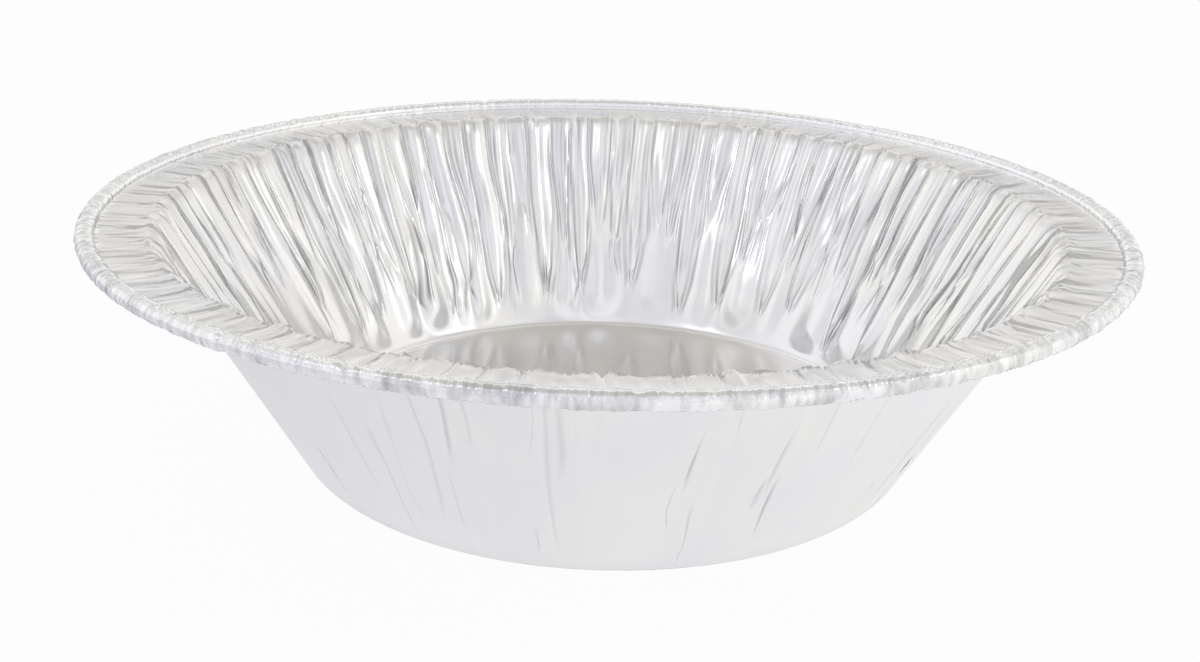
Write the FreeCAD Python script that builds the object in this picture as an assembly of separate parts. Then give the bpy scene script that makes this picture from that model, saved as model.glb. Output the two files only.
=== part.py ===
# Foil pie tin: one disc of thin aluminium foil pressed into a tapered dish.
# The floor is flat. The wall is gathered into folds that stand into the dish, long ones that die out in toes just
# above the floor and short ones between them that end part way down. Between the folds the foil keeps to a plain
# cone, which is the wall's outline from outside. The folds run on over the shoulder and into the flange, and the
# outer edge is curled up, over and back under into a crimped bead.
# The origin is the middle of the underside, with +Z up.
import FreeCAD, Part
import math
import os

# Driving sizes, in millimetres and degrees. Diameters and heights are those of the foil's upper, inner face.
SIZES = [
    ("rim_diameter", 150.0, "across the outside of the bead"),
    ("overall_height", 36.8, "from the table to the top of the bead"),
    ("base_diameter", 91.8, "across the sharp corner of floor and wall"),
    ("mouth_diameter", 130.6, "across the sharp corner of wall and flange"),
    ("mouth_depth", 2.05, "of that corner below the top of the bead"),
    ("foil_thickness", 0.1, "of the sheet"),
    ("base_corner_radius", 1.4, "where the floor turns into the wall"),
    ("shoulder_radius", 2.0, "where the wall turns into the flange"),
    ("bead_width", 2.5, "of the curled edge, across"),
    ("bead_height", 2.35, "of the curled edge, up and down"),
    ("curl_start", 200.0, "angle on the bead at which the flange meets it"),
    ("curl_turn", 330.0, "angle through which the edge is curled"),
    ("fold_count", 100, "folds round the wall"),
    ("wall_fold_depth", 1.2, "of the deepest folds at the top of the wall"),
    ("toe_fold_depth", 0.8, "of the same folds just above their toes"),
    ("flange_fold_depth", 0.4, "of the same folds where they reach the flange"),
    ("crimp_depth", 0.2, "of the deepest crimps in the bead"),
    ("long_fold_toe", 3.5, "distance up the wall to the lowest toe of a long fold"),
    ("long_toe_range", 5.0, "from that toe to the highest toe of a long fold"),
    ("short_fold_toe", 12.0, "distance up the wall to the lowest toe of a short fold"),
    ("short_toe_range", 12.0, "from that toe to the highest toe of a short fold"),
    ("toe_length", 2.2, "in which a fold rises from its toe to its depth"),
]

# Straight steps that the bead's curl is made of.
CURL_STEPS = 7
# Shares of a fold's pitch by which its foot and its ridge stray to either side of their even places.
FOOT_STRAY = 0.1
RIDGE_STRAY = 0.18
# Share of the folds that are long, and the depth of the short ones as a share of theirs.
LONG_SHARE = 0.4
SHORT_DEPTH = 0.65
# Share of its depth that the shallowest fold or crimp lacks.
DEPTH_VARIATION = 0.4
# Strides of the uneven series. No two share a pattern, so the folds don't repeat round the tin.
LENGTH_STRIDE = 0.6180
FOOT_STRIDE = 0.6458
RIDGE_STRIDE = 0.4142
DEPTH_STRIDE = 0.7321
TOE_STRIDE = 0.3028
CRIMP_STRIDE = 0.5616
# Share of the foil's thickness within which the facets' corners count as one.
SEWING_SHARE = 0.01


def make_sheet(doc):
    """Put the driving sizes into a spreadsheet of the document."""
    sheet = doc.addObject("Spreadsheet::Sheet", "Sizes")
    for row, (name, value, note) in enumerate(SIZES, start=1):
        sheet.set(f"A{row}", note)
        sheet.set(f"B{row}", str(value))
        sheet.setAlias(f"B{row}", name)
    doc.recompute()
    return sheet


def uneven(index, stride):
    """A repeatable value from 0 to 1 that jumps about from one index to the next."""
    return (index * stride) % 1


def stray(index, stride):
    """A repeatable value from -1 to 1 that jumps about in the same way."""
    return 2 * uneven(index, stride) - 1


def shift(point, way, distance):
    """The point moved by a distance along a way, in the plane of the section."""
    return (point[0] + way[0] * distance, point[1] + way[1] * distance)


class Crease:
    """One crease line from the floor to the rim: its angle, and how deep a fold and a crimp it makes from where."""

    def __init__(self, angle, fold_share=0, toe=0, crimp_share=0):
        self.angle = angle
        self.fold_share = fold_share
        self.toe = toe
        self.crimp_share = crimp_share


def make_creases(sheet):
    """The crease lines in order round the tin: a fold's foot, which keeps to the plain wall, its ridge, and so on."""
    pitch = 2 * math.pi / sheet.fold_count
    creases = []
    for fold in range(int(sheet.fold_count)):
        fold_share = 1 - DEPTH_VARIATION * uneven(fold, DEPTH_STRIDE)
        crimp_share = 1 - DEPTH_VARIATION * uneven(fold, CRIMP_STRIDE)
        if uneven(fold, LENGTH_STRIDE) < LONG_SHARE:
            toe = sheet.long_fold_toe + sheet.long_toe_range * uneven(fold, TOE_STRIDE)
        else:
            toe = sheet.short_fold_toe + sheet.short_toe_range * uneven(fold, TOE_STRIDE)
            fold_share *= SHORT_DEPTH
        foot_angle = pitch * (fold + FOOT_STRAY * stray(fold, FOOT_STRIDE))
        ridge_angle = pitch * (fold + 0.5 + RIDGE_STRAY * stray(fold, RIDGE_STRIDE))
        creases.append(Crease(foot_angle, toe=toe))
        creases.append(Crease(ridge_angle, fold_share, toe, crimp_share))
    return creases


class Section:
    """The tin's section in a plane through its axis, as points of (radius, height)."""

    def __init__(self, sheet):
        self.sheet = sheet
        self.base = (sheet.base_diameter / 2, sheet.foil_thickness)
        self.mouth = (sheet.mouth_diameter / 2, sheet.overall_height - sheet.mouth_depth)
        self.bead_radius = (sheet.rim_diameter - sheet.bead_width) / 2
        self.bead_height = sheet.overall_height - sheet.bead_height / 2
        bead_foot = self.on_bead(sheet.curl_start, 0)
        self.wall_slope = math.atan2(self.mouth[1] - self.base[1], self.mouth[0] - self.base[0])
        self.flange_slope = math.atan2(bead_foot[1] - self.mouth[1], bead_foot[0] - self.mouth[0])
        self.wall_length = math.dist(self.base, self.mouth)
        self.base_run = sheet.base_corner_radius * math.tan(self.wall_slope / 2)
        self.shoulder_run = sheet.shoulder_radius * math.tan((self.wall_slope - self.flange_slope) / 2)

    def on_bead(self, degrees, inset):
        """A point of the bead's oval, or of the same oval set in by a distance."""
        turn = math.radians(degrees)
        return (
            self.bead_radius + (self.sheet.bead_width / 2 - inset) * math.cos(turn),
            self.bead_height + (self.sheet.bead_height / 2 - inset) * math.sin(turn),
        )

    def on_corner(self, corner, radius, before, after):
        """The middle of the arc that rounds a corner between two slopes."""
        side = 1 if after > before else -1
        half_turn = (after - before) / 2 * side
        middle = (before + after) / 2
        inward = (-math.sin(middle) * side, math.cos(middle) * side)
        return shift(corner, inward, radius * (1 / math.cos(half_turn) - 1))

    def upper_and_lower(self, point, slope, rise):
        """A point raised from the plain section, with its mate on the foil's lower face."""
        up = (-math.sin(slope), math.cos(slope))
        return shift(point, up, rise), shift(point, up, rise - self.sheet.foil_thickness)

    def follow(self, crease):
        """Pairs of points, on the upper and the lower face, from the floor to the free edge along one crease."""
        sheet = self.sheet
        wall, flange = self.wall_slope, self.flange_slope
        along_wall = (math.cos(wall), math.sin(wall))
        along_flange = (math.cos(flange), math.sin(flange))
        toe_rise = crease.fold_share * sheet.toe_fold_depth
        wall_rise = crease.fold_share * sheet.wall_fold_depth
        flange_rise = crease.fold_share * sheet.flange_fold_depth

        def on_wall(distance, rise):
            return self.upper_and_lower(shift(self.base, along_wall, distance), wall, rise)

        base_middle = self.on_corner(self.base, sheet.base_corner_radius, 0, wall)
        shoulder_middle = self.on_corner(self.mouth, sheet.shoulder_radius, wall, flange)
        pairs = [
            self.upper_and_lower((self.base[0] - self.base_run, self.base[1]), 0, 0),
            self.upper_and_lower(base_middle, wall / 2, 0),
            on_wall(self.base_run, 0),
            on_wall(crease.toe, 0),
            on_wall(crease.toe + sheet.toe_length, toe_rise),
            on_wall(self.wall_length - self.shoulder_run, wall_rise),
            self.upper_and_lower(shoulder_middle, (wall + flange) / 2, (wall_rise + flange_rise) / 2),
            self.upper_and_lower(shift(self.mouth, along_flange, self.shoulder_run), flange, flange_rise),
        ]
        crimp = sheet.crimp_depth * crease.crimp_share
        bead_foot = self.on_bead(sheet.curl_start, crimp)
        pairs.append((bead_foot, (bead_foot[0] + sheet.foil_thickness, bead_foot[1] - sheet.foil_thickness)))
        for step in range(1, CURL_STEPS + 1):
            degrees = sheet.curl_start - sheet.curl_turn * step / CURL_STEPS
            pairs.append((self.on_bead(degrees, crimp), self.on_bead(degrees, crimp + sheet.foil_thickness)))
        return pairs


# Pairs of points, from the floor outwards, that lie below every toe, so that only every other crease needs them.
PLAIN_PAIRS = 3


def foil_facets(pair_count, crease_count):
    """Triangles over both faces of the foil and its free edge, as (pair, crease, face) corners.

    Face 0 is the upper face and face 1 the lower. Corners run so that each triangle faces out of the sheet.
    """
    facets = []
    for low in range(pair_count - 1):
        high = low + 1
        for crease in range(0, crease_count, 2):
            middle, last = crease + 1, (crease + 2) % crease_count
            if high < PLAIN_PAIRS:
                facets.append(((low, crease), (high, last), (low, last)))
                facets.append(((low, crease), (high, crease), (high, last)))
            elif low < PLAIN_PAIRS:
                facets.append(((low, crease), (high, crease), (high, middle)))
                facets.append(((low, crease), (high, middle), (low, last)))
                facets.append(((low, last), (high, middle), (high, last)))
            else:
                facets.append(((low, crease), (high, crease), (high, middle)))
                facets.append(((low, crease), (high, middle), (low, middle)))
                facets.append(((low, middle), (high, middle), (low, last)))
                facets.append(((low, last), (high, middle), (high, last)))
    upper = [tuple((pair, crease, 0) for pair, crease in facet) for facet in facets]
    lower = [tuple((pair, crease, 1) for pair, crease in reversed(facet)) for facet in facets]
    edge = []
    last_pair = pair_count - 1
    for crease in range(crease_count):
        after = (crease + 1) % crease_count
        edge.append(((last_pair, crease, 0), (last_pair, crease, 1), (last_pair, after, 1)))
        edge.append(((last_pair, crease, 0), (last_pair, after, 1), (last_pair, after, 0)))
    return upper + lower + edge


def make_foil(sheet):
    """The sheet of foil as one closed solid."""
    section = Section(sheet)
    creases = make_creases(sheet)
    corners = {}
    for index, crease in enumerate(creases):
        for pair, faces in enumerate(section.follow(crease)):
            for face, (radius, height) in enumerate(faces):
                corners[pair, index, face] = FreeCAD.Vector(
                    radius * math.cos(crease.angle), radius * math.sin(crease.angle), height
                )
    pair_count = len(section.follow(creases[0]))
    order = {corner: place for place, corner in enumerate(corners)}
    facets = [tuple(order[corner] for corner in facet) for facet in foil_facets(pair_count, len(creases))]
    folded = Part.Shape()
    folded.makeShapeFromMesh((list(corners.values()), facets), sheet.foil_thickness * SEWING_SHARE)
    floors = []
    for face in (0, 1):
        ring = [corners[0, index, face] for index in range(0, len(creases), 2)]
        floors.append(Part.Face(Part.makePolygon(ring + ring[:1])))
    skin = Part.makeCompound(folded.Faces + floors)
    skin.sewShape()
    solid = Part.Solid(skin.Shells[0])
    if solid.Volume < 0:
        solid.reverse()
    return solid


def check(doc):
    """Stop where an object of the document failed, or its shape is missing or broken."""
    for item in doc.Objects:
        if "Invalid" in item.State or "Error" in item.State:
            raise RuntimeError(item.Label + " failed")
        if hasattr(item, "Shape") and (item.Shape.isNull() or not item.Shape.isValid()):
            raise RuntimeError(item.Label + " has no valid shape")


doc = FreeCAD.newDocument("FoilPieTin")
sheet = make_sheet(doc)
tin = doc.addObject("Part::Feature", "FoilPieTin")
tin.Label = "foil_pie_tin"
tin.Shape = make_foil(sheet)
tin.Placement = FreeCAD.Placement(FreeCAD.Vector(0, 0, 0), FreeCAD.Rotation())
doc.recompute()
check(doc)

os.makedirs("parts", exist_ok=True)
tin.Shape.exportStep(f"parts/{tin.Label}.step")
box = tin.Shape.BoundBox
print(f"{tin.Label}: {len(tin.Shape.Solids)} solid, {len(tin.Shape.Faces)} faces, volume {tin.Shape.Volume:.0f} mm3")
print(f"size {box.XLength:.2f} x {box.YLength:.2f} x {box.ZLength:.2f} mm")
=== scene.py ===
import math
import random

import bpy
import numpy as np
from mathutils import Matrix, Vector


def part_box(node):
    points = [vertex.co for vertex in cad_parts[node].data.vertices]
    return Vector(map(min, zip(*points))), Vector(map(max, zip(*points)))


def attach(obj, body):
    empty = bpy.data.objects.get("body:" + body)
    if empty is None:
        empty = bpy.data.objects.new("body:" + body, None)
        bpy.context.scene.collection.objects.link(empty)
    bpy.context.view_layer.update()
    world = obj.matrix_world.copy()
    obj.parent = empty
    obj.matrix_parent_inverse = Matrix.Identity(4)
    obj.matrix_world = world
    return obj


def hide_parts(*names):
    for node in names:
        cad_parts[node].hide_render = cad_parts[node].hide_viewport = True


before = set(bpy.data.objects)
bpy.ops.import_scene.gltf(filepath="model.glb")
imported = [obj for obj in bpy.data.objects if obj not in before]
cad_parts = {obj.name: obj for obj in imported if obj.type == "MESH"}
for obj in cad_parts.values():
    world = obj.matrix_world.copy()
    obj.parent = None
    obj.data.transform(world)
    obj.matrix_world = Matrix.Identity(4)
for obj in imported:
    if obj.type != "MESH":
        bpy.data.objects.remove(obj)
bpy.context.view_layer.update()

# Sizes of the tin in metres, those of the foil's upper face, taken from the solid and the drawing behind it
mm = 0.001
tin_low, tin_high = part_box("foil_pie_tin")
RIM_RADIUS = (tin_high[0] - tin_low[0]) / 2
OVERALL_HEIGHT = tin_high[2]
BASE_RADIUS = 45.9 * mm
MOUTH_RADIUS = 65.3 * mm
MOUTH_DEPTH = 2.05 * mm
FOIL_THICKNESS = 0.1 * mm
BASE_CORNER_RADIUS = 1.4 * mm
SHOULDER_RADIUS = 2.0 * mm
BEAD_WIDTH = 2.5 * mm
BEAD_HEIGHT = 2.35 * mm
CURL_START = math.radians(200)
CURL_TURN = math.radians(330)

# Folds, laid out as on the solid
FOLD_COUNT = 100
LONG_SHARE = 0.4
SHORT_DEPTH = 0.65
DEPTH_VARIATION = 0.4
FOOT_STRAY = 0.1
RIDGE_STRAY = 0.18
LENGTH_STRIDE = 0.6180
FOOT_STRIDE = 0.6458
RIDGE_STRIDE = 0.4142
DEPTH_STRIDE = 0.7321
TOE_STRIDE = 0.3028
WALL_FOLD_DEPTH = 1.2 * mm
TOE_FOLD_DEPTH = 0.8 * mm
FLANGE_FOLD_DEPTH = 0.4 * mm
LONG_FOLD_TOE = 3.5 * mm
LONG_TOE_RANGE = 5.0 * mm
SHORT_FOLD_TOE = 12.0 * mm
SHORT_TOE_RANGE = 12.0 * mm
TOE_LENGTH = 2.2 * mm
# Depth of the folds against the solid's: at the top of the wall, on the flange and on the outer face
WALL_TOP_SHARE = 0.85
FLANGE_SHARE = 0.65
OUTER_FACE_SHARE = 0.12
# The furthest that a fold leans over the height of the wall, in mm at the mouth
MOST_LEAN = 1.8

# Net of the foil: the columns round the tin, and the share of a fold's columns that gather in its bundle
FOLD_COLUMNS = 12
COLUMNS = FOLD_COUNT * FOLD_COLUMNS
BUNDLE_SHARE = 2 / 3
FULL_TURN = 2 * math.pi

# Creases that stand out with full painted shade: the folds whose left foot is pinched shut, with the stretch
# of the wall in mm
PINCHED_FEET = {4: (13, 31), 7: (14, 38), 9: (16, 34), 15: (20, 36), 36: (6, 24), 44: (12, 30)}
# Pleats outside the wall: the angle in degrees, the lowest and the highest place up the wall in mm, and the
# strength from 0 to 1
OUTER_PLEATS = (
    (-134.4, 8, 12, 1.0), (-123.4, 11, 28, 0.3), (-119.0, 3, 24, 0.35), (-116.5, 8, 30, 0.25),
    (-111.5, 10, 38, 0.35), (-108.4, 23, 38, 0.6), (-109.4, 8, 18, 0.5), (-105.5, 26, 38, 0.35),
    (-98.5, 26, 38, 0.4), (-96.5, 5, 38, 0.3), (-94.8, 22, 36, 0.35), (-99.5, 4, 8, 0.4),
    (-79.8, 20, 27, 0.9), (-80.8, 11, 17, 0.9), (-78.2, 3, 13, 0.6), (-75.0, 28, 37, 0.3),
    (-68.3, 18, 27, 0.6), (-69.3, 14, 18, 0.6), (-67.6, 7, 17, 1.0), (-63.5, 24, 36, 0.35),
    (-56.5, 20, 32, 0.3), (-41.0, 6, 24, 0.3), (70.0, 10, 30, 0.4), (140.0, 5, 30, 0.4),
)
# Each outer pleat's rise, its groove, and the painted shade along it
PLEAT_HEIGHT = 0.15 * mm
PLEAT_GROOVE = 0.12 * mm
PLEAT_SHADE = 0.6
# Where the outer pleats lean: the angle, how far to either side, and how far they lean over the whole wall
LEAN_ANGLE = math.radians(-115)
LEAN_SPREAD = math.radians(9)
LEAN = 3.0 * mm / MOUTH_RADIUS
# Numbers of narrow creases across the rolled edge and of slanting ones over the flange
CRIMP_COUNT = 340
FLANGE_MARK_COUNT = 170

# Seeds of the random draws
FOLD_SEED = 7
FACE_SEED = 21
CRIMP_SEED = 11
FLANGE_MARK_SEED = 31


class Section:
    """The plain section of the foil's upper face, by the distance along the foil from the axis."""

    def __init__(self):
        self.base = Vector((BASE_RADIUS, FOIL_THICKNESS))
        self.mouth = Vector((MOUTH_RADIUS, OVERALL_HEIGHT - MOUTH_DEPTH))
        self.bead = Vector((RIM_RADIUS - BEAD_WIDTH / 2, OVERALL_HEIGHT - BEAD_HEIGHT / 2))
        foot = self.on_bead(CURL_START)[0]
        self.wall_slope = math.atan2(*reversed(self.mouth - self.base))
        self.flange_slope = math.atan2(*reversed(foot - self.mouth))
        base_run = BASE_CORNER_RADIUS * math.tan(self.wall_slope / 2)
        turn = self.wall_slope - self.flange_slope
        shoulder_run = SHOULDER_RADIUS * math.tan(turn / 2)
        # Distances along the foil at which each stretch ends
        self.floor_end = BASE_RADIUS - base_run
        self.corner_end = self.floor_end + BASE_CORNER_RADIUS * self.wall_slope
        self.wall_zero = self.corner_end - base_run
        self.wall_end = self.wall_zero + (self.mouth - self.base).length - shoulder_run
        self.shoulder_end = self.wall_end + SHOULDER_RADIUS * turn
        self.flange_end = self.shoulder_end + (foot - self.mouth).length - shoulder_run
        mean_radius = (BEAD_WIDTH + BEAD_HEIGHT) / 4
        self.curl_end = self.flange_end + CURL_TURN * mean_radius
        self.wall_top = self.wall_end - self.wall_zero

    def on_bead(self, angle):
        """A point of the bead's oval and the way out of the bead there."""
        way = Vector((math.cos(angle) * BEAD_HEIGHT, math.sin(angle) * BEAD_WIDTH)).normalized()
        return self.bead + Vector((math.cos(angle) * BEAD_WIDTH, math.sin(angle) * BEAD_HEIGHT)) / 2, way

    def at(self, along):
        """The point, as radius and height, and the upward normal at a distance along the foil."""
        if along <= self.floor_end:
            return Vector((along, FOIL_THICKNESS)), Vector((0, 1))
        if along <= self.corner_end:
            slope = (along - self.floor_end) / BASE_CORNER_RADIUS
            centre = Vector((self.floor_end, FOIL_THICKNESS + BASE_CORNER_RADIUS))
            up = Vector((-math.sin(slope), math.cos(slope)))
            return centre - up * BASE_CORNER_RADIUS, up
        if along <= self.wall_end:
            up = Vector((-math.sin(self.wall_slope), math.cos(self.wall_slope)))
            way = Vector((up.y, -up.x))
            return self.base + way * (along - self.wall_zero), up
        if along <= self.shoulder_end:
            start, wall_up = self.at(self.wall_end)
            centre = start - wall_up * SHOULDER_RADIUS
            slope = self.wall_slope - (along - self.wall_end) / SHOULDER_RADIUS
            up = Vector((-math.sin(slope), math.cos(slope)))
            return centre + up * SHOULDER_RADIUS, up
        if along <= self.flange_end:
            foot = self.on_bead(CURL_START)[0]
            up = Vector((-math.sin(self.flange_slope), math.cos(self.flange_slope)))
            way = Vector((up.y, -up.x))
            return foot - way * (self.flange_end - along), up
        turned = (along - self.flange_end) / (self.curl_end - self.flange_end) * CURL_TURN
        return self.on_bead(CURL_START - turned)


section = Section()


def row_places(fine):
    """Distances along the foil of the net's rows, from the axis to the free edge."""
    toes_end = section.wall_zero + 12 * mm
    knots_end = section.wall_zero + 27 * mm
    near_edge = section.floor_end - 3 * mm
    stops = (0, near_edge, section.floor_end, section.corner_end, toes_end, knots_end, section.wall_end,
             section.shoulder_end, section.flange_end, section.curl_end)
    counts = (1, 2, 3, 12, 9, 7, 4, 5, 13) if fine else (1, 1, 2, 5, 6, 3, 1, 2, 6)
    places = []
    for start, end, steps in zip(stops, stops[1:], counts):
        places += [start + (end - start) * step / steps for step in range(steps)]
    return places + [section.curl_end]


def uneven(index, stride):
    """A repeatable value from 0 to 1 that jumps about from one index to the next."""
    return (index * stride) % 1


def stray(index, stride):
    """A repeatable value from -1 to 1 that jumps about in the same way."""
    return 2 * uneven(index, stride) - 1


def ramp(value, start, end):
    """Rises smoothly from 0 at start to 1 at end."""
    share = np.clip((value - start) / (end - start), 0, 1)
    return share * share * (3 - 2 * share)


class Fold:
    """One fold of the wall, placed as on the solid, with the small differences that show on real foil."""

    def __init__(self, index, chance):
        pitch = FULL_TURN / FOLD_COUNT
        self.share = 1 - DEPTH_VARIATION * uneven(index, DEPTH_STRIDE)
        self.long = uneven(index, LENGTH_STRIDE) < LONG_SHARE
        if self.long:
            self.toe = LONG_FOLD_TOE + LONG_TOE_RANGE * uneven(index, TOE_STRIDE)
            self.opening = 22 * mm
            self.parting = 3 * mm
        else:
            self.toe = SHORT_FOLD_TOE + SHORT_TOE_RANGE * uneven(index, TOE_STRIDE)
            self.share *= SHORT_DEPTH
            self.opening = 12 * mm
            self.parting = chance.uniform(6, 10) * mm
        self.foot = pitch * (index + FOOT_STRAY * stray(index, FOOT_STRIDE))
        self.ridge = pitch * (index + 0.5 + RIDGE_STRAY * stray(index, RIDGE_STRIDE))
        self.columns = np.arange(FOLD_COLUMNS * index, FOLD_COLUMNS * (index + 1))
        lean = chance.gauss(0, 1.2 if self.long else 0.8)
        self.lean = min(max(lean, -MOST_LEAN), MOST_LEAN) * mm / MOUTH_RADIUS
        self.sway = chance.uniform(0.1, 0.45) * mm / MOUTH_RADIUS
        self.turns = chance.uniform(0.6, 1.7)
        self.crest = chance.uniform(1.2, 3.0)
        self.skew = chance.uniform(-0.35, 0.35)
        self.knotted = not self.long and chance.random() < 0.5

    def wander(self, up_wall):
        """How far the fold strays round the tin on its way down the wall."""
        drop = np.clip(section.wall_top - up_wall, 0, section.wall_top) / section.wall_top
        return self.lean * drop + self.sway * np.sin(drop * self.turns * FULL_TURN)

    def spread(self, up_wall):
        """Share of the fold's room that its bundle takes: narrow at the toe, wider above it and below it."""
        above = np.clip((up_wall - self.toe) / self.opening, 0, 1)
        below = ramp(self.toe - up_wall, 0, self.parting)
        at_toe, more_above, more_below = 0.16, 0.7, 0.5
        return at_toe + more_above * above ** 0.45 + more_below * below

    def growth(self, up_wall):
        """How far a long fold pushes its neighbours aside in the lower half of the wall."""
        if not self.long:
            return 0 * up_wall
        return ramp(up_wall, self.toe, self.toe + 6 * mm) * (1 - ramp(up_wall, 20 * mm, 34 * mm))

    def depth(self, up_wall):
        """Depth of the fold at each distance up the wall."""
        flange_start = section.shoulder_end - section.wall_zero
        flange_stop = section.flange_end - section.wall_zero
        stops = (self.toe, self.toe + TOE_LENGTH, section.wall_top, flange_start, flange_stop)
        levels = (0, TOE_FOLD_DEPTH, WALL_TOP_SHARE * WALL_FOLD_DEPTH, FLANGE_SHARE * FLANGE_FOLD_DEPTH, 0)
        return self.share * np.interp(up_wall, stops, levels)


def make_folds(chance):
    """All the folds in order round the tin."""
    return [Fold(index, chance) for index in range(FOLD_COUNT)]


folds = make_folds(random.Random(FOLD_SEED))
# Place of each column in its fold: -1 at the foot, 0 at the ridge
PLACES = np.arange(FOLD_COLUMNS) / (FOLD_COLUMNS / 2) - 1
# The column at the left edge of a fold's bundle
EDGE_PLACE = round((1 - BUNDLE_SHARE) * FOLD_COLUMNS / 2)
# The angle by which a long fold pushes aside the feet next to it
PUSH = 0.22 * FULL_TURN / FOLD_COUNT


class Net:
    """The rows and columns of one face of the foil, with each point's angle and its rise along the normal."""

    def __init__(self, along):
        self.along = np.array(along)
        self.up_wall = self.along - section.wall_zero
        points = [section.at(place) for place in along]
        self.radius = np.array([point.x for point, up in points])
        self.height = np.array([point.y for point, up in points])
        self.up = np.array([tuple(up) for point, up in points])
        self.relief = np.zeros((len(along), COLUMNS))
        # Painted shade for each point, from 0 to 1, which darkens the foil's colour in creases and valleys
        self.painted_shade = np.zeros((len(along), COLUMNS))
        self.lay_columns()

    def lay_columns(self):
        """Let the columns follow the folds on the wall, gathered into bundles, and run evenly elsewhere."""
        wander = [fold.wander(self.up_wall) for fold in folds]
        growth = [fold.growth(self.up_wall) for fold in folds]
        push = [PUSH * (growth[index - 1] - growth[index]) for index in range(FOLD_COUNT)]
        feet = []
        for index, fold in enumerate(folds):
            feet.append(fold.foot + (wander[index - 1] + wander[index]) / 2 + push[index])
        feet.append(feet[0] + FULL_TURN)
        inner = np.minimum(np.abs(PLACES) / BUNDLE_SHARE, 1)
        outer = np.clip((np.abs(PLACES) - BUNDLE_SHARE) / (1 - BUNDLE_SHARE), 0, 1)
        self.angle = np.empty_like(self.relief)
        for index, fold in enumerate(folds):
            ridge = fold.ridge + wander[index] + (push[index] + push[(index + 1) % FOLD_COUNT]) / 2
            left = (ridge - feet[index])[:, None]
            right = (feet[index + 1] - ridge)[:, None]
            spread = fold.spread(self.up_wall)[:, None]
            reach = np.sign(PLACES) * (inner * spread + outer * (1 - spread))
            self.angle[:, fold.columns] = ridge[:, None] + reach * np.where(PLACES < 0, left, right)
        even = np.arange(COLUMNS) * FULL_TURN / COLUMNS
        on_wall = ramp(self.up_wall, 0, 3 * mm)
        on_wall *= 1 - ramp(self.along, section.shoulder_end, section.flange_end)
        self.angle = even + (self.angle - even) * on_wall[:, None]

    def near(self, line, reach):
        """The columns within reach of a line up the wall, and how far past it each of their points lies.

        The line is one angle, or an angle for each row.
        """
        line = np.asarray(line).reshape(-1, 1)
        middle = round(float(line.mean()) / FULL_TURN * COLUMNS)
        half = math.ceil((reach / BASE_RADIUS + float(np.ptp(line)) / 2) / FULL_TURN * COLUMNS) + FOLD_COLUMNS
        columns = np.arange(middle - half, middle + half + 1) % COLUMNS
        turn = (self.angle[:, columns] - line + math.pi) % FULL_TURN - math.pi
        return columns, turn * self.radius[:, None]

    def places(self, sink):
        """The points of the face as an array of rows by columns by three."""
        rise = self.relief - sink
        radius = self.radius[:, None] + self.up[:, :1] * rise
        radius[0] = 0
        height = self.height[:, None] + self.up[:, 1:] * rise
        return np.stack([radius * np.cos(self.angle), radius * np.sin(self.angle), height], axis=-1)


def add_folds(net, share):
    """Raise each fold from the wall: steep at its sides and rounded on top."""
    for fold in folds:
        across = np.clip(PLACES / BUNDLE_SHARE, -1, 1)
        skewed = across + fold.skew * (1 - across * across)
        crest = 1 - np.abs(skewed) ** fold.crest
        net.relief[:, fold.columns] += share * fold.depth(net.up_wall)[:, None] * np.maximum(crest, 0)


def add_fine_ridges(net, chance):
    """Give each fold its own sharp parallel ridges, which run up over the shoulder and fade on the flange."""
    for fold in folds:
        room = 20 * mm if fold.long else 10 * mm
        for place, column in enumerate(fold.columns):
            likely = 0.9 if place % 2 else 0.25
            if chance.random() > likely:
                continue
            start = fold.toe + (0.3 + room / mm * chance.random() ** 1.6) * mm
            height = chance.uniform(0.1, 0.36) * mm
            wave = chance.uniform(9, 22) * mm
            phase = chance.uniform(0, FULL_TURN)
            fade = ramp(net.up_wall, start, start + 3 * mm)
            fade *= 0.7 + 0.3 * np.sin(net.up_wall / wave * FULL_TURN + phase)
            stops = (section.wall_end, section.shoulder_end, section.flange_end)
            net.relief[:, column] += height * fade * np.interp(net.along, stops, (1, 0.65, 0.35))


def add_lips(net, chance):
    """A thin raised lip along both sides of each long fold, from its toe up."""
    for fold in folds:
        if not fold.long:
            continue
        for place in (EDGE_PLACE, FOLD_COLUMNS - EDGE_PLACE):
            height = chance.uniform(0.15, 0.32) * mm
            end = fold.toe + chance.uniform(10, 22) * mm
            fade = ramp(net.up_wall, fold.toe - 1 * mm, fold.toe + 0.8 * mm)
            fade *= 1 - ramp(net.up_wall, end - 7 * mm, end)
            net.relief[:, fold.columns[place]] += height * fade


def add_panels(net, chance):
    """The smooth panels between the long folds swell a little into the dish."""
    long_folds = [fold for fold in folds if fold.long]
    for fold, after in zip(long_folds, long_folds[1:] + long_folds[:1]):
        first, last = fold.columns[FOLD_COLUMNS // 2], after.columns[FOLD_COLUMNS // 2]
        columns = np.arange(first, first + (last - first) % COLUMNS + 1) % COLUMNS
        turn = (net.angle[:, columns] - net.angle[:, [first]]) % FULL_TURN
        place = 2 * turn / turn[:, -1:] - 1
        low = chance.uniform(0.3, 1.6) * mm
        high = chance.uniform(19, 27) * mm
        swell = chance.uniform(0.25, 0.75) * mm
        strength = ramp(net.up_wall, low, low + 5 * mm) * (1 - ramp(net.up_wall, high - 9 * mm, high))
        lean = chance.uniform(-0.5, 0.5)
        bulge = np.cos(np.clip(place + lean * (1 - place * place), -1, 1) * math.pi / 2) ** 2
        net.relief[:, columns] += (swell * strength)[:, None] * bulge


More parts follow.
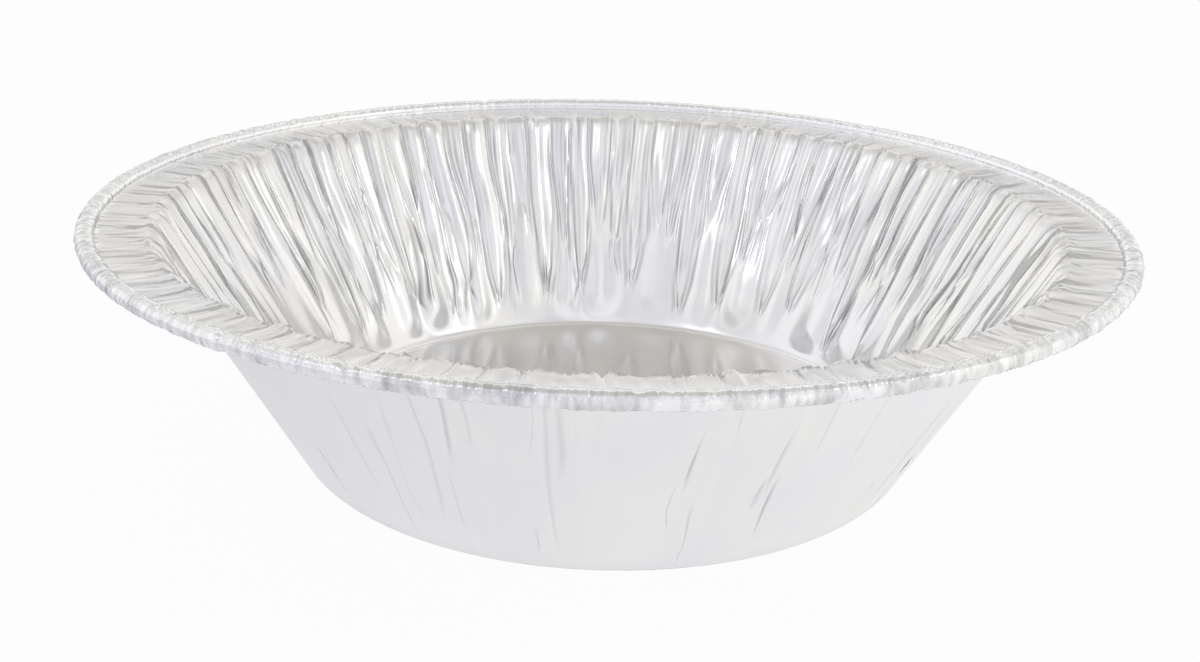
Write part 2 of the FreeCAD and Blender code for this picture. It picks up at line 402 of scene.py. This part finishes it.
def add_knots(net, chance):
    """Where some short folds end the foil is pinched, and two ridges part from there and run on down."""
    for fold in folds:
        if not fold.knotted:
            continue
        columns, across = net.near(fold.ridge + fold.wander(net.up_wall), 2 * mm)
        away = across ** 2 + ((net.up_wall - fold.toe - 0.8 * mm) ** 2)[:, None]
        size = chance.uniform(0.5, 0.9) * mm
        net.relief[:, columns] += chance.uniform(0.25, 0.5) * mm * np.exp(-away / size ** 2)
        below = np.clip(fold.toe + 1 * mm - net.up_wall, 0, fold.parting) / fold.parting
        strength = (below > 0) * (1 - below) ** 0.7
        for place in (EDGE_PLACE, FOLD_COLUMNS - EDGE_PLACE):
            net.relief[:, fold.columns[place]] += chance.uniform(0.2, 0.4) * mm * strength


def pinch_feet(net, chance):
    """Close the gaps between some folds into slits darkened with painted shade."""
    for index, fold in enumerate(folds):
        strength = chance.uniform(0.3, 0.85)
        low = fold.toe + chance.uniform(2, 14) * mm
        high = low + chance.uniform(6, 20) * mm
        if index in PINCHED_FEET:
            strength = 1.0
            low, high = PINCHED_FEET[index][0] * mm, PINCHED_FEET[index][1] * mm
        elif chance.random() > 0.5:
            continue
        fade = ramp(net.up_wall, low, low + 3 * mm) * (1 - ramp(net.up_wall, high - 3 * mm, high))
        fade *= 1 - 0.8 * ramp(net.along, section.wall_end - 1 * mm, section.shoulder_end)
        foot = fold.columns[0]
        # Painted shade in the slit at the fold's foot, while the columns beside it rise
        net.painted_shade[:, foot] = np.maximum(net.painted_shade[:, foot], strength * fade)
        for column in (foot - 1, foot + 1):
            net.relief[:, column % COLUMNS] += 0.3 * mm * strength * fade


def add_outer_pleats(net):
    """A few thin pleats that show on the outside of the wall, each along one column of the net."""
    # Near the lean angle the columns lean, and the pleats with them
    off = (net.angle - LEAN_ANGLE + math.pi) % FULL_TURN - math.pi
    place = np.clip(net.up_wall / section.wall_top, 0, 1)
    fade = 1 - ramp(net.along, section.wall_end, section.flange_end)
    net.angle += (LEAN * (place - 0.5) * fade)[:, None] * np.exp(-(off / LEAN_SPREAD) ** 2)
    middle = int(np.argmax(net.up_wall > section.wall_top / 2))
    for degrees, low, high, strength in OUTER_PLEATS:
        away = (net.angle[middle] - math.radians(degrees) + math.pi) % FULL_TURN - math.pi
        column = int(np.argmin(np.abs(away)))
        height = net.up_wall / mm
        soft = min(3, (high - low) / 3)
        line = strength * ramp(height, low - soft, low + soft) * (1 - ramp(height, high - soft, high + soft))
        # Painted shade along the pleat, with a small rise and a groove beside it
        net.painted_shade[:, column] = PLEAT_SHADE * line
        net.relief[:, column] += PLEAT_HEIGHT * line
        net.relief[:, (column + 2) % COLUMNS] -= PLEAT_GROOVE * line


def press_crease(net, line, strength, depth, width, shade):
    """Press a narrow crease along a line, with a strength for each row and painted shade per mm of depth."""
    columns, across = net.near(line, 3 * width)
    dip = strength[:, None] * np.exp(-(across / width) ** 2)
    net.relief[:, columns] -= depth * dip
    # Painted shade in the crease, darker where it is pressed deeper
    net.painted_shade[:, columns] = np.maximum(net.painted_shade[:, columns], shade * depth / mm * dip)


def add_crimps(net, chance):
    """Irregular short creases across the rolled edge."""
    on_bead = ramp(net.along, section.flange_end - 0.3 * mm, section.flange_end + 0.6 * mm)
    for _ in range(CRIMP_COUNT):
        angle = chance.uniform(0, FULL_TURN)
        slant = chance.gauss(0, 0.006)
        depth = chance.uniform(0.02, 0.09) * mm
        width = chance.uniform(0.3, 0.6) * mm
        line = angle + slant * (net.along - section.flange_end) / (2 * mm) * on_bead
        press_crease(net, line, on_bead, depth, width, shade=0.8)


def add_flange_marks(net, chance):
    """Short slanting creases over the flange, from the shoulder towards the bead."""
    run = np.clip((net.along - section.shoulder_end) / (section.flange_end - section.shoulder_end), 0, 1)
    on_flange = ramp(net.along, section.shoulder_end - 0.8 * mm, section.shoulder_end + 0.4 * mm)
    on_flange *= 1 - ramp(net.along, section.flange_end - 0.6 * mm, section.flange_end)
    for _ in range(FLANGE_MARK_COUNT):
        angle = chance.uniform(0, FULL_TURN)
        slant = chance.gauss(0, 0.018)
        depth = chance.uniform(0.03, 0.16) * mm
        width = chance.uniform(0.35, 0.7) * mm
        press_crease(net, angle + slant * run, on_flange, depth, width, shade=0.9)


def add_shoulder_crest(net, chance):
    """A low wavy crest round the tin, where the shoulder meets the flange."""
    around = np.arange(COLUMNS) / COLUMNS * FULL_TURN
    # Two wavy lines, each a sum of waves: the first moves the crest, the second changes its height
    waves = np.zeros((2, COLUMNS))
    wave_count = 10
    for _ in range(wave_count):
        for wave in waves:
            turns = chance.randint(40, 170)
            wave += np.sin(around * turns + chance.uniform(0, FULL_TURN)) / wave_count ** 0.5
    crest = section.shoulder_end + (0.3 * waves[0] - 0.5) * mm
    height = (0.28 + 0.14 * waves[1]) * mm
    width = 0.45 * mm
    net.relief += height * np.exp(-((net.along[:, None] - crest) / width) ** 2)


def shade_valleys(net):
    """Mark the sharp valleys between ridges, where little light gets in."""
    before, after = np.roll(net.relief, 1, axis=1), np.roll(net.relief, -1, axis=1)
    step = np.maximum(np.diff(net.angle, axis=1, append=net.angle[:, :1] + FULL_TURN), 1e-6)
    spacing = np.maximum(step * net.radius[:, None], 0.15 * mm)
    # The bend between the two sides from which a valley is as dark as it gets
    darkest_bend = 1.3
    valley = np.clip((before + after - 2 * net.relief) / spacing / darkest_bend, 0, 1)
    # The shade is deepest low on the wall, less above and least on the flange
    shade = 1.1 - 0.42 * ramp(net.up_wall, 8 * mm, 22 * mm)
    shade -= 0.54 * ramp(net.along, section.wall_end - 1 * mm, section.shoulder_end)
    # The painted shade is deeper at the back of the tin than at the sides, and least at the front
    deeper_at_back = np.clip(0.45 + 0.6 * np.sin(net.angle), 0.25, 1)
    net.painted_shade = np.maximum(net.painted_shade, shade[:, None] * deeper_at_back * valley)


def fold_upper_face(along):
    """The bright face, inside the dish and over the bead."""
    net = Net(along)
    chance = random.Random(FACE_SEED)
    add_folds(net, 1.0)
    add_panels(net, chance)
    add_fine_ridges(net, chance)
    add_lips(net, chance)
    add_knots(net, chance)
    pinch_feet(net, chance)
    add_crimps(net, random.Random(CRIMP_SEED))
    add_flange_marks(net, random.Random(FLANGE_MARK_SEED))
    add_shoulder_crest(net, chance)
    shade_valleys(net)
    return net


def fold_lower_face(along):
    """The dull face, outside the dish, which keeps close to a plain cone."""
    net = Net(along)
    add_folds(net, OUTER_FACE_SHARE)
    add_outer_pleats(net)
    add_crimps(net, random.Random(CRIMP_SEED))
    return net


def spin_plain_tin(upper, lower):
    """The tin without folds: its closed section, spun about the axis."""
    weld = 0.01 * mm
    outline = []
    for along, side in [(place, 0) for place in upper] + [(place, 1) for place in reversed(lower)]:
        point, up = section.at(along)
        outline.append(point - up * FOIL_THICKNESS * side)
    bpy.ops.object.select_all(action="DESELECT")
    bpy.ops.mesh.primitive_circle_add(vertices=len(outline), radius=RIM_RADIUS)
    tin = bpy.context.object
    tin.name = "wrinkled_foil"
    row = tin.data.attributes.new("row", "INT", "POINT")
    for index, point in enumerate(outline):
        tin.data.vertices[index].co = (point.x, 0, point.y)
        row.data[index].value = index
    spin = tin.modifiers.new("spin", "SCREW")
    spin.steps = COLUMNS
    spin.render_steps = COLUMNS
    spin.use_merge_vertices = True
    spin.merge_threshold = weld
    bpy.ops.object.modifier_apply(modifier=spin.name)
    bpy.ops.object.mode_set(mode="EDIT")
    bpy.ops.mesh.select_all(action="SELECT")
    bpy.ops.mesh.remove_doubles(threshold=weld)
    bpy.ops.mesh.normals_make_consistent(inside=False)
    bpy.ops.object.mode_set(mode="OBJECT")
    return tin


def set_attribute(mesh, name, kind, values):
    """Keep a value for each point of the mesh, for its materials."""
    attribute = mesh.attributes.new(name, kind, "POINT")
    field = "vector" if kind == "FLOAT_VECTOR" else "value"
    attribute.data.foreach_set(field, values.astype(np.float32).ravel())


def gather(tin, upper, lower):
    """Move every point of the plain tin to its place in the folded foil, and keep what the materials read.

    Returns the number of each face's material: 0 for the bright foil and 1 for the dull one.
    """
    mesh = tin.data
    count = len(mesh.vertices)
    plain = np.empty(count * 3)
    mesh.vertices.foreach_get("co", plain)
    plain = plain.reshape(-1, 3)
    rows = np.empty(count, dtype=np.int32)
    mesh.attributes["row"].data.foreach_get("value", rows)
    turn = np.arctan2(plain[:, 1], plain[:, 0])
    column = np.round(turn / FULL_TURN * COLUMNS).astype(int) % COLUMNS
    upper_net, lower_net = fold_upper_face(upper), fold_lower_face(lower)
    folded = np.concatenate([upper_net.places(0), lower_net.places(FOIL_THICKNESS)[::-1]])
    mesh.vertices.foreach_set("co", folded[rows, column].ravel())
    # The painted shade goes onto the mesh for the materials
    painted_shade = np.concatenate([upper_net.painted_shade, lower_net.painted_shade[::-1]])
    set_attribute(mesh, "painted_shade", "FLOAT", painted_shade[rows, column])
    angle = np.concatenate([upper_net.angle, lower_net.angle[::-1]])[rows, column]
    along = np.concatenate([upper_net.along, lower_net.along[::-1]])[rows]
    flow = np.stack([RIM_RADIUS * np.cos(angle), RIM_RADIUS * np.sin(angle), along], axis=-1)
    set_attribute(mesh, "flow", "FLOAT_VECTOR", flow)
    starts = np.empty(len(mesh.polygons), dtype=np.int32)
    mesh.polygons.foreach_get("loop_start", starts)
    corners = np.empty(len(mesh.loops), dtype=np.int32)
    mesh.loops.foreach_get("vertex_index", corners)
    lowest = np.minimum.reduceat(rows[corners], starts)
    return (lowest >= len(upper)).astype(np.int32)


upper_rows, lower_rows = row_places(fine=True), row_places(fine=False)
tin = spin_plain_tin(upper_rows, lower_rows)
face_materials = gather(tin, upper_rows, lower_rows)
bpy.ops.object.shade_smooth()


class Graph:
    """The nodes of a material, group or world, added one by one."""

    def __init__(self, tree):
        self.tree = tree

    def add(self, kind, inputs=None, **settings):
        """Add a node with its settings; each input is a plain value or another node's output."""
        node = self.tree.nodes.new("ShaderNode" + kind)
        for name, value in settings.items():
            setattr(node, name, value)
        for socket, value in (inputs or {}).items():
            if isinstance(value, bpy.types.NodeSocket):
                self.tree.links.new(value, node.inputs[socket])
            else:
                node.inputs[socket].default_value = value
        return node

    def math(self, operation, first, second):
        """The result of a sum on two values."""
        return self.add("Math", {0: first, 1: second}, operation=operation).outputs[0]

    def fit(self, value, low, high, start=0.0, end=1.0):
        """A value stretched from one range to another."""
        inputs = {"Value": value, "From Min": low, "From Max": high, "To Min": start, "To Max": end}
        return self.add("MapRange", inputs).outputs[0]

    def mix(self, share, first, second):
        """A colour between two colours."""
        node = self.add("Mix", {"Factor": share, "A": first, "B": second}, data_type="RGBA")
        return node.outputs["Result"]

    def noise(self, where, scale, detail=0.0):
        """A noise from 0 to 1, with so many cells to each unit of its coordinates."""
        return self.add("TexNoise", {"Vector": where, "Scale": scale, "Detail": detail}).outputs["Fac"]


def make_foil_group():
    """Foil surface: tone, roughness and fine relief, with rolled grain and the streaks of the gathering."""
    group = bpy.data.node_groups.new("foil_surface", "ShaderNodeTree")
    for name, kind in (("Tone", "NodeSocketColor"), ("Painted Shade Tone", "NodeSocketColor"),
                       ("Roughness", "NodeSocketFloat"), ("Streaks", "NodeSocketFloat")):
        group.interface.new_socket(name, in_out="INPUT", socket_type=kind)
    for name, kind in (("Color", "NodeSocketColor"), ("Roughness", "NodeSocketFloat"),
                       ("Normal", "NodeSocketVector")):
        group.interface.new_socket(name, in_out="OUTPUT", socket_type=kind)
    graph = Graph(group)
    given = group.nodes.new("NodeGroupInput").outputs
    where = graph.add("TexCoord").outputs["Object"]
    flow = graph.add("Attribute", attribute_name="flow").outputs["Vector"]
    # Painted shade of the creases and valleys, kept on the mesh
    painted_shade = graph.add("Attribute", attribute_name="painted_shade").outputs["Fac"]
    along = graph.add("SeparateXYZ", {0: flow}).outputs["Z"]
    on_bead = graph.fit(along, section.flange_end, section.flange_end + 0.6 * mm)
    # Streaks run up the foil: they come in over the wall and fade on the flange
    drawn_out = graph.add("Mapping", {"Vector": flow, "Scale": (1, 1, 0.035)}).outputs[0]
    streaks = graph.noise(drawn_out, 1500, 2.0)
    gathered = graph.fit(along, section.wall_zero + 5 * mm, section.wall_zero + 24 * mm)
    faded = graph.fit(along, section.shoulder_end, section.flange_end, 1.0, 0.35)
    streak_share = graph.math("MULTIPLY", graph.math("MULTIPLY", gathered, faded), given["Streaks"])
    # Relief: the streaks, the rolled grain, shallow dents everywhere, and a coarser crumple on the bead
    grain = graph.noise(where, 2600, 2.0)
    dents = graph.noise(where, 260, 1.0)
    height = graph.math("MULTIPLY", streaks, streak_share)
    grain_share = graph.math("MULTIPLY", given["Streaks"], 0.08)
    height = graph.math("ADD", height, graph.math("MULTIPLY", grain, grain_share))
    height = graph.math("ADD", height, graph.math("MULTIPLY", dents, 0.5))
    squashed = graph.add("Mapping", {"Vector": flow, "Scale": (1, 1, 0.35)}).outputs[0]
    rolled = graph.math("MULTIPLY", on_bead, 8.0)
    height = graph.math("ADD", height, graph.math("MULTIPLY", graph.noise(squashed, 1100, 2.0), rolled))
    bump = graph.add("Bump", {"Height": height, "Strength": 0.6, "Distance": 0.05 * mm})
    # Painted shade in dark pinches on the outer side of the bead, small ones and broad ones
    outer_side = graph.fit(along, section.flange_end + 1.6 * mm, section.flange_end + 3.4 * mm, 0.1, 1.0)
    small = graph.fit(graph.noise(squashed, 1000, 1.0), 0.4, 0.7, 0.0, 0.36)
    broad = graph.fit(graph.noise(where, 170, 1.0), 0.48, 0.62, 0.0, 0.26)
    painted_pinch_shade = graph.math("ADD", small, broad)
    painted_pinch_shade = graph.math("MULTIPLY", painted_pinch_shade, graph.math("MULTIPLY", on_bead, outer_side))
    painted_shade = graph.math("MAXIMUM", painted_shade, painted_pinch_shade)
    # Tone: cooler and warmer patches, a brighter bead, and painted shade in the creases
    patches = graph.noise(where, 70, 3.0)
    tint = graph.mix(graph.fit(patches, 0.35, 0.65), (0.955, 0.955, 0.975, 1), (1.0, 0.995, 0.975, 1))
    polished = graph.mix(on_bead, given["Tone"], (0.98, 0.98, 0.99, 1))
    both = {"Factor": 1.0, "A": polished, "B": tint}
    toned = graph.add("Mix", both, data_type="RGBA", blend_type="MULTIPLY").outputs["Result"]
    # Painted shade: the tone darkens towards the painted shade tone
    color = graph.mix(painted_shade, toned, given["Painted Shade Tone"])
    # Roughness: it changes a little with the patches and the streaks, and is higher on the flange
    by_patches = graph.fit(patches, 0.3, 0.7, -0.04, 0.05)
    by_streaks = graph.fit(streaks, 0.3, 0.7, -0.02, 0.03)
    rubbed = graph.math("ADD", by_patches, by_streaks)
    onto_flange = graph.fit(along, section.wall_end - 3 * mm, section.shoulder_end, 0.0, 0.14)
    up_to_bead = graph.fit(along, section.flange_end - 1 * mm, section.flange_end, 1.0, 0.0)
    rubbed = graph.math("ADD", rubbed, graph.math("MULTIPLY", onto_flange, up_to_bead))
    outputs = group.nodes.new("NodeGroupOutput")
    group.links.new(color, outputs.inputs["Color"])
    group.links.new(graph.math("ADD", given["Roughness"], rubbed), outputs.inputs["Roughness"])
    group.links.new(bump.outputs["Normal"], outputs.inputs["Normal"])
    return group


foil_group = make_foil_group()


def make_foil(name, tone, painted_shade_tone, roughness, streaks):
    """Aluminium foil with the shared foil surface."""
    material = bpy.data.materials.new(name)
    material.use_nodes = True
    graph = Graph(material.node_tree)
    shader = material.node_tree.nodes["Principled BSDF"]
    shader.inputs["Metallic"].default_value = 1.0
    given = {"Tone": tone, "Painted Shade Tone": painted_shade_tone, "Roughness": roughness, "Streaks": streaks}
    surface = graph.add("Group", given, node_tree=foil_group)
    for output, socket in (("Color", "Base Color"), ("Roughness", "Roughness"), ("Normal", "Normal")):
        material.node_tree.links.new(surface.outputs[output], shader.inputs[socket])
    return material


# Each foil's painted shade tone is the colour of its darkest painted shade
bright_foil = make_foil("bright_foil", tone=(0.92, 0.915, 0.91, 1), painted_shade_tone=(0.3, 0.3, 0.31, 1),
                        roughness=0.17, streaks=1.0)
dull_foil = make_foil("dull_foil", tone=(0.93, 0.93, 0.93, 1), painted_shade_tone=(0.35, 0.35, 0.37, 1),
                      roughness=0.34, streaks=0.05)
for foil in (bright_foil, dull_foil):
    tin.data.materials.append(foil)
tin.data.polygons.foreach_set("material_index", face_materials)
tin.data.update()
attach(tin, "root")
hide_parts("foil_pie_tin")

# Camera, fitted to the picture's perspective: the eye's place, seen from a point on the tin's axis, then how
# far the camera is turned away from that point
CAMERA_DISTANCE = 221.34 * mm
CAMERA_ELEVATION = math.radians(19.735)
CAMERA_AIM_HEIGHT = 17.8 * mm
CAMERA_YAW = math.radians(0.2305)
CAMERA_PITCH = math.radians(-0.5129)
CAMERA_ROLL = math.radians(-1.769)
CAMERA_CLIP_START = 5 * mm
# The sensor's width is in its own millimetres, the picture's and the focal length in pixels
SENSOR_WIDTH = 36.0
PICTURE_WIDTH = 1200
FOCAL_PIXELS = 1451.6


def place_camera():
    """The camera at the photograph's distance, height and tilt."""
    data = bpy.data.cameras.new("camera")
    camera = bpy.data.objects.new("camera", data)
    bpy.context.scene.collection.objects.link(camera)
    data.sensor_width = SENSOR_WIDTH
    data.lens = SENSOR_WIDTH * FOCAL_PIXELS / PICTURE_WIDTH
    data.clip_start = CAMERA_CLIP_START
    forward = Vector((0, math.cos(CAMERA_ELEVATION), -math.sin(CAMERA_ELEVATION)))
    right = Vector((1, 0, 0))
    top = right.cross(forward)
    yaw = Matrix.Rotation(CAMERA_YAW, 3, top)
    forward, right = yaw @ forward, yaw @ right
    pitch = Matrix.Rotation(CAMERA_PITCH, 3, right)
    forward, top = pitch @ forward, pitch @ top
    roll = Matrix.Rotation(CAMERA_ROLL, 3, forward)
    right, top = roll @ right, roll @ top
    eye = Vector((0, -math.cos(CAMERA_ELEVATION), math.sin(CAMERA_ELEVATION))) * CAMERA_DISTANCE
    eye.z += CAMERA_AIM_HEIGHT
    matrix = Matrix((right, top, -forward)).transposed().to_4x4()
    matrix.translation = eye
    camera.matrix_world = matrix
    bpy.context.scene.camera = camera


place_camera()

# Floor in metres, and the share of its light that is its own glow, the rest being paint that takes a shadow
FLOOR_SIZE = 8
GLOW_SHARE = 0.94
WHITE = (1, 1, 1, 1)
# Levels of the light tent
FRONT_LEVEL = 0.85
BRIGHTEST_LEVEL = 1.04
# Point that the lamps look at
LAMP_AIM = (0, 0, 0.02)


def make_floor():
    """A plain white floor that keeps a soft shadow; the foil mirrors its left side with painted shade, a
    little darker.
    """
    bpy.ops.object.select_all(action="DESELECT")
    bpy.ops.mesh.primitive_plane_add(size=FLOOR_SIZE, location=(0, 0, 0))
    floor = bpy.context.object
    floor.name = "floor"
    material = bpy.data.materials.new("white_floor")
    material.use_nodes = True
    material.node_tree.nodes.clear()
    graph = Graph(material.node_tree)
    light_path = graph.add("LightPath").outputs
    where = graph.add("SeparateXYZ", {0: graph.add("TexCoord").outputs["Object"]}).outputs["X"]
    # Painted fall-off of light in what the foil mirrors: darker and cooler on the floor's left, white on its
    # right
    painted_falloff = graph.mix(graph.fit(where, -0.1, 0.1), (0.775, 0.775, 0.825, 1), (1.0, 1.0, 0.99, 1))
    color = graph.mix(light_path["Is Camera Ray"], painted_falloff, WHITE)
    glow = graph.add("Emission", {"Color": color, "Strength": 1.0})
    paint = graph.add("BsdfDiffuse", {"Color": (0.9, 0.9, 0.9, 1)})
    seen = graph.math("MAXIMUM", light_path["Is Camera Ray"], light_path["Is Glossy Ray"])
    share = graph.math("MULTIPLY", seen, GLOW_SHARE)
    mixed = graph.add("MixShader", {"Fac": share, 1: paint.outputs[0], 2: glow.outputs[0]})
    graph.add("OutputMaterial", {"Surface": mixed.outputs[0]})
    floor.data.materials.append(material)


def light_world():
    """A light tent: white for the eye, and soft uneven pale cloth for what the foil mirrors."""
    world = bpy.data.worlds.new("tent")
    bpy.context.scene.world = world
    world.use_nodes = True
    graph = Graph(world.node_tree)
    background = world.node_tree.nodes["Background"]
    way = graph.add("TexCoord").outputs["Generated"]
    split = graph.add("SeparateXYZ", {0: way}).outputs
    # The cloth is lighter and darker in soft tall patches
    tall = graph.add("Mapping", {"Vector": way, "Scale": (1.0, 1.0, 0.5)}).outputs[0]
    cloth = graph.fit(graph.noise(tall, 3.4, 1.0), 0.36, 0.64, 0.84, 1.16)
    # Levels: the front, the back with a lighter panel high up, and the flanks to the left and right
    front = graph.math("MULTIPLY", cloth, FRONT_LEVEL)
    high_panel = graph.fit(split["Z"], 0.62, 0.74, 0.0, 0.36)
    behind = graph.math("ADD", graph.fit(split["Z"], 0.2, 0.38, 1.08, 0.72), high_panel)
    middle = graph.fit(split["Y"], 0.25, 0.55, front, behind)
    flanks = graph.math("MULTIPLY", cloth, graph.fit(split["Z"], 0.3, 0.8, 1.12, 0.72))
    level = graph.fit(graph.math("ABSOLUTE", split["X"], 0.0), 0.4, 0.8, middle, flanks)
    level = graph.math("MINIMUM", level, BRIGHTEST_LEVEL)
    # Cool in front and on the left, warm on the right and at the back, darker and warmer straight above
    coolness = graph.math("MULTIPLY", graph.fit(split["X"], 0.8, 0.2), graph.fit(split["Y"], 0.5, -0.2))
    tint = graph.mix(coolness, (1.0, 0.995, 0.98, 1), (0.95, 0.955, 1.0, 1))
    sides = graph.add("VectorMath", {0: tint, 1: level}, operation="MULTIPLY").outputs[0]
    overhead = graph.fit(split["Z"], 0.8, 0.97)
    roof = graph.mix(overhead, sides, (0.6, 0.585, 0.56, 1))
    eye = graph.add("LightPath").outputs["Is Camera Ray"]
    world.node_tree.links.new(graph.mix(eye, roof, WHITE), background.inputs["Color"])
    background.inputs["Strength"].default_value = 1.0


def area_light(name, place, size, power):
    """A rectangular soft lamp, turned to the tin."""
    data = bpy.data.lights.new(name, "AREA")
    data.shape = "RECTANGLE"
    data.size, data.size_y = size
    data.energy = power
    light = bpy.data.objects.new(name, data)
    light.location = place
    light.rotation_euler = (Vector(LAMP_AIM) - Vector(place)).to_track_quat("-Z", "Y").to_euler()
    bpy.context.scene.collection.objects.link(light)


make_floor()
light_world()
area_light("key", place=(-0.55, -0.45, 0.75), size=(0.15, 0.15), power=0.12)
area_light("fill", place=(0.75, -0.25, 0.6), size=(0.1, 0.25), power=0.13)

bpy.context.scene.view_settings.view_transform = "Standard"
